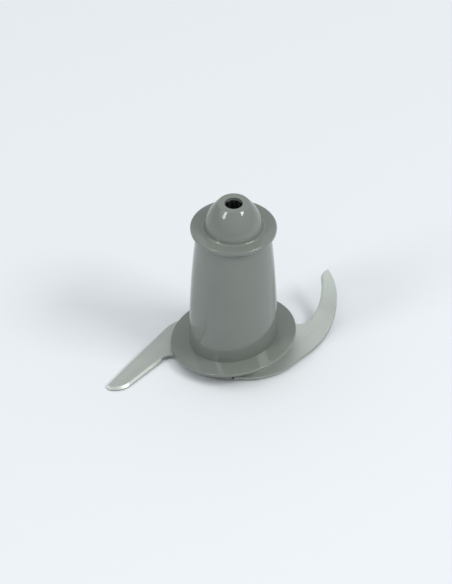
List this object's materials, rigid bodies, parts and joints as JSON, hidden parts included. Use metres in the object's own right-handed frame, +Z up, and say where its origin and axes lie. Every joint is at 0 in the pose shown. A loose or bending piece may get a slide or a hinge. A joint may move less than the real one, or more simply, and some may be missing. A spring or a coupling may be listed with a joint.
{
  "type": "food processor blade",
  "caption": "Food processor chopping blade: tall hollow hub with a brim and domed top, splined drive socket inside, and a low and a high curved knife at its sloping foot.",
  "frame": {"origin": "on the hub's turning axis, in the plane of the base ring's underside, which rests on the bowl floor", "axes": "+Z up along the turning axis to the domed top, +X towards the high side of the sloping foot, where the rolled-up knife leaves, +Y away from the viewer of the picture"},
  "size_m": [0.1306, 0.0826, 0.1053],
  "materials": {
    "hub_grey": "smooth glossy grey moulding",
    "foot_grey": "smooth glossy grey moulding",
    "sleeve_black": "satin black moulding",
    "knife_steel": "satin rolled sheet with a bright ground edge",
    "ring_black": "satin black moulding",
    "screw_steel": "bright machined",
    "seal_rubber": "smooth rubber"
  },
  "bodies": {
    "root": {"hub": "hub_grey", "foot": "foot_grey", "drive_sleeve": "sleeve_black", "low_knife": "knife_steel", "high_knife": "knife_steel", "base_ring": "ring_black", "hub_seal": "seal_rubber", "clamp_screw_1": "screw_steel", "clamp_screw_2": "screw_steel", "clamp_screw_3": "screw_steel", "clamp_screw_4": "screw_steel"}
  },
  "joints": []
}
